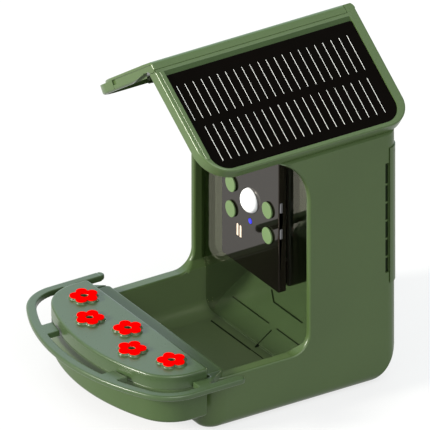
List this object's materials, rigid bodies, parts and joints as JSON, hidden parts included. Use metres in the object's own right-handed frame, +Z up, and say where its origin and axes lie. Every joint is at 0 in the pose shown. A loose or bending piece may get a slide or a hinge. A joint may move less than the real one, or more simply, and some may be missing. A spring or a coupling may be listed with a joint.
{
  "type": "bird feeder",
  "caption": "Wild bird feeder with gabled solar roof, hopper window and camera, open seed tray, and a hook-on nectar cup with flower ports and a perch rail.",
  "frame": {"origin": "centre of the footprint box, on the surface the feeder stands on", "axes": "+Z up, -Y towards the perch and nectar cup, +X to the side of the hinged solar slope"},
  "size_m": [0.1942, 0.2478, 0.265],
  "materials": {
    "green_body": "satin moulded plastic, sage green",
    "green_roof": "satin moulded plastic, sage green",
    "green_nectar": "satin moulded plastic, sage green",
    "green_cap": "soft light green plug",
    "flower_red": "bright red moulded plastic",
    "black_gloss": "polished black",
    "black_plastic": "fine matt black",
    "clear_window": "clear glossy sheet",
    "white_dome": "milky white lens dome",
    "led_blue": "blue status light",
    "light_cream": "cream light bar",
    "steel": "plain steel",
    "brass": "turned brass",
    "board": "circuit board with solder mask",
    "battery": "shrink-wrapped cell pack",
    "rubber_seal": "soft black seal",
    "grey_button": "matt grey key",
    "panel_black": "gloss black panel with thin pale lines under the surface",
    "cells_dark": "dark silicon cells"
  },
  "bodies": {
    "housing": {"main_housing": "green_body", "pole_insert": "brass", "roof_left": "green_roof", "hinge_pin": "steel", "hopper_window": "clear_window", "seed_ramp": "green_body", "battery": "battery", "mount_plate": "black_plastic", "plate_screw_1": "steel", "plate_screw_2": "steel", "camera_bezel": "black_gloss", "camera_housing": "black_plastic", "camera_screw_1": "steel", "camera_screw_2": "steel", "camera_screw_3": "steel", "camera_screw_4": "steel", "cap_plug_1": "green_cap", "cap_plug_2": "green_cap", "cap_plug_3": "green_cap", "cap_plug_4": "green_cap", "sensor_dome": "white_dome", "lens_barrel": "black_plastic", "lens_glass": "black_gloss", "status_led": "led_blue", "light_bar_1": "light_cream", "light_bar_2": "light_cream", "main_board": "board", "speaker": "black_plastic", "charge_socket": "steel"},
    "solar_lid": {"solar_frame": "green_roof", "solar_cells": "cells_dark", "solar_glass": "panel_black", "junction_box": "black_plastic"},
    "back_cover": {"rear_cover": "green_body"},
    "reset_key": {"reset_button": "grey_button"},
    "power_key": {"power_button": "grey_button"},
    "nectar_tray": {"nectar_cup": "green_nectar", "perch_rail": "green_nectar"},
    "nectar_top": {"nectar_lid": "green_nectar", "lid_seal": "rubber_seal", "flower_1": "flower_red", "flower_2": "flower_red", "flower_3": "flower_red", "flower_4": "flower_red", "flower_5": "flower_red"}
  },
  "joints": [
    {"name": "solar_lid_hinge", "type": "hinge", "parent": "housing", "child": "solar_lid", "pos_m": [0, 0.037, 0.262], "axis": [0, -1, 0], "range_deg": [0, 100]},
    {"name": "nectar_tray_lift", "type": "slide", "parent": "housing", "child": "nectar_tray", "axis": [0, 0, 1], "range_m": [0, 0.03]},
    {"name": "nectar_top_lift", "type": "slide", "parent": "nectar_tray", "child": "nectar_top", "axis": [0, 0, 1], "range_m": [0, 0.025]},
    {"name": "back_cover_pull", "type": "slide", "parent": "housing", "child": "back_cover", "axis": [0, 1, 0], "range_m": [0, 0.03]},
    {"name": "reset_key_press", "type": "slide", "parent": "housing", "child": "reset_key", "axis": [-1, 0, 0], "range_m": [0, 0.0006], "stiffness_N_per_m": 800, "springref_m": -0.0005},
    {"name": "power_key_press", "type": "slide", "parent": "housing", "child": "power_key", "axis": [-1, 0, 0], "range_m": [0, 0.0006], "stiffness_N_per_m": 800, "springref_m": -0.0005}
  ]
}
